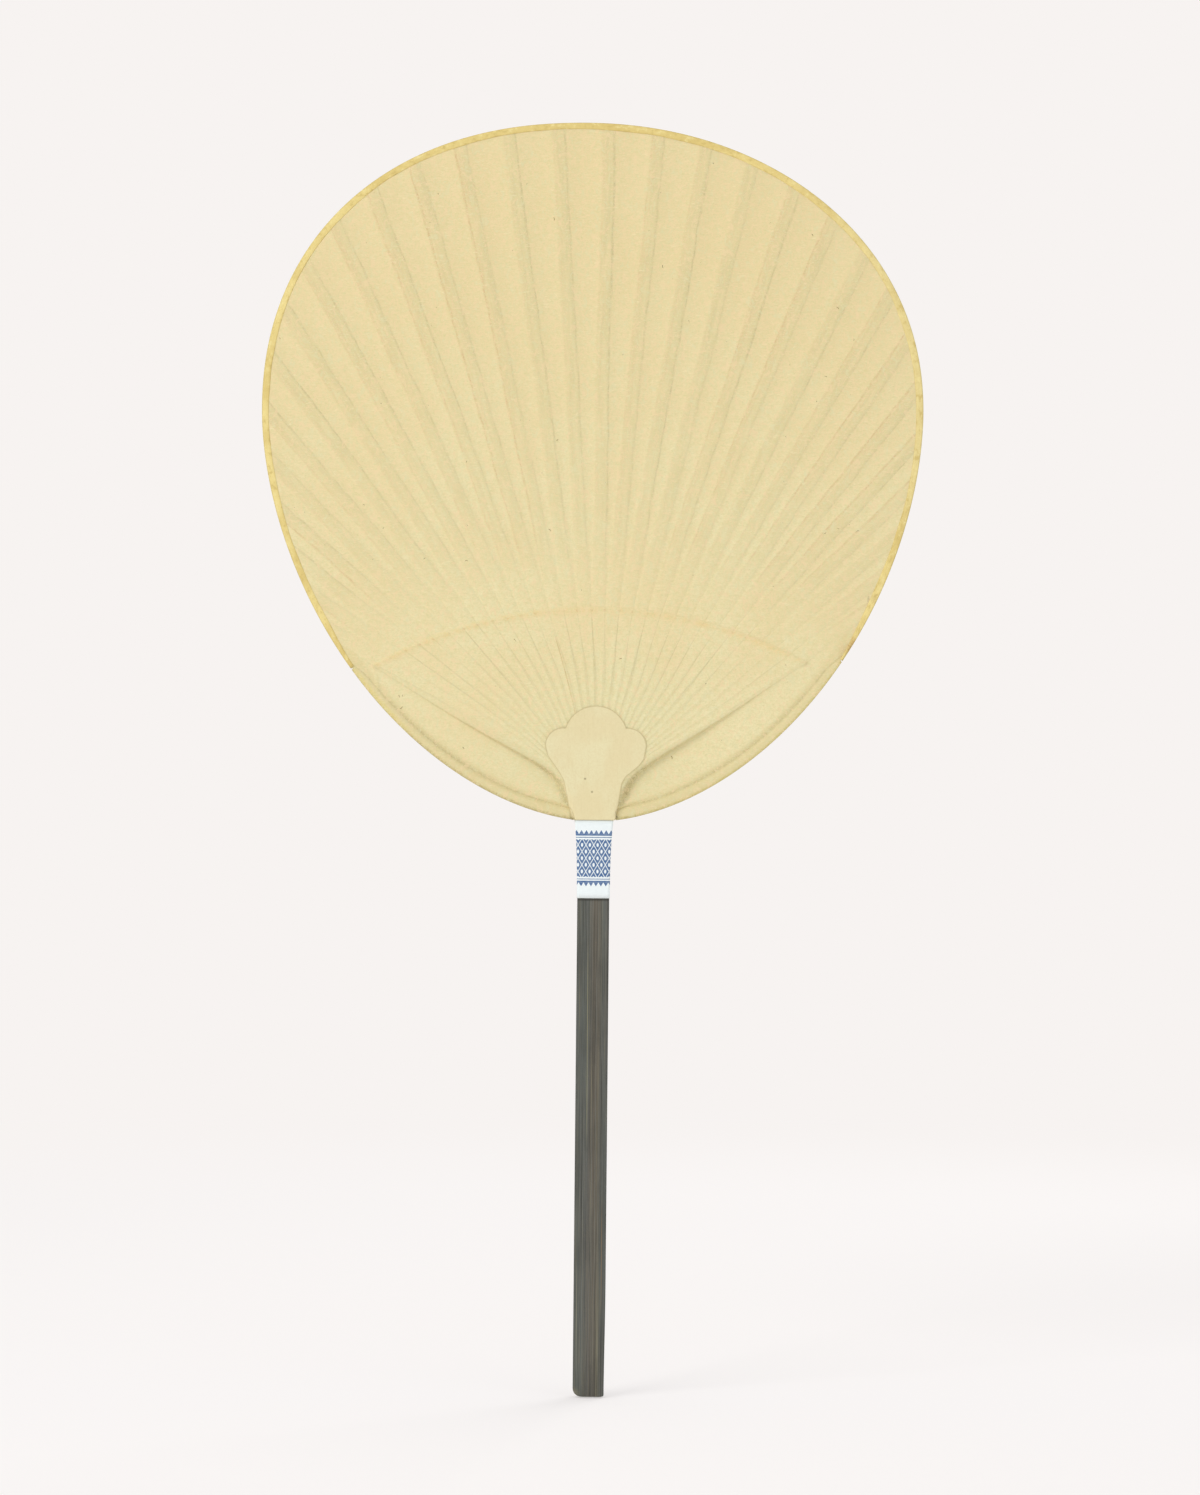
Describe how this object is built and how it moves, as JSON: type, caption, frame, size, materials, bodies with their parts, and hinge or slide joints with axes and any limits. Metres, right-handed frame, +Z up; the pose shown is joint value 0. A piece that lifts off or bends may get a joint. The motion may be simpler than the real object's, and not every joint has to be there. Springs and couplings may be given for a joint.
{
  "type": "round paper fan",
  "caption": "Flat hand fan: an egg-shaped paper blade on split bamboo ribs and a bow, with a straight bamboo handle.",
  "frame": {"origin": "centre of the handle's end face, which the fan's long axis passes through", "axes": "+Z up the handle to the top of the blade, +X to the right as the front is seen, front of the blade faces -Y"},
  "size_m": [0.2547, 0.0068, 0.4902],
  "materials": {
    "stained_bamboo": "dark grey-green stain rubbed over the grain, satin",
    "plain_bamboo": "shaved bare bamboo",
    "cotton_thread": "twisted thread, matte",
    "back_washi": "handmade paper, matte",
    "front_washi": "handmade paper with a faint sheen",
    "yellow_strip": "dyed paper strip, matte",
    "patch_washi": "handmade paper, matte",
    "label_paper": "smooth printed paper"
  },
  "bodies": {
    "root": {"handle_with_ribs": "stained_bamboo", "bow": "plain_bamboo", "rib_thread": "cotton_thread", "back_paper": "back_washi", "front_paper": "front_washi", "edge_strip": "yellow_strip", "front_neck_patch": "patch_washi", "back_neck_patch": "patch_washi", "label_band": "label_paper"}
  },
  "joints": []
}
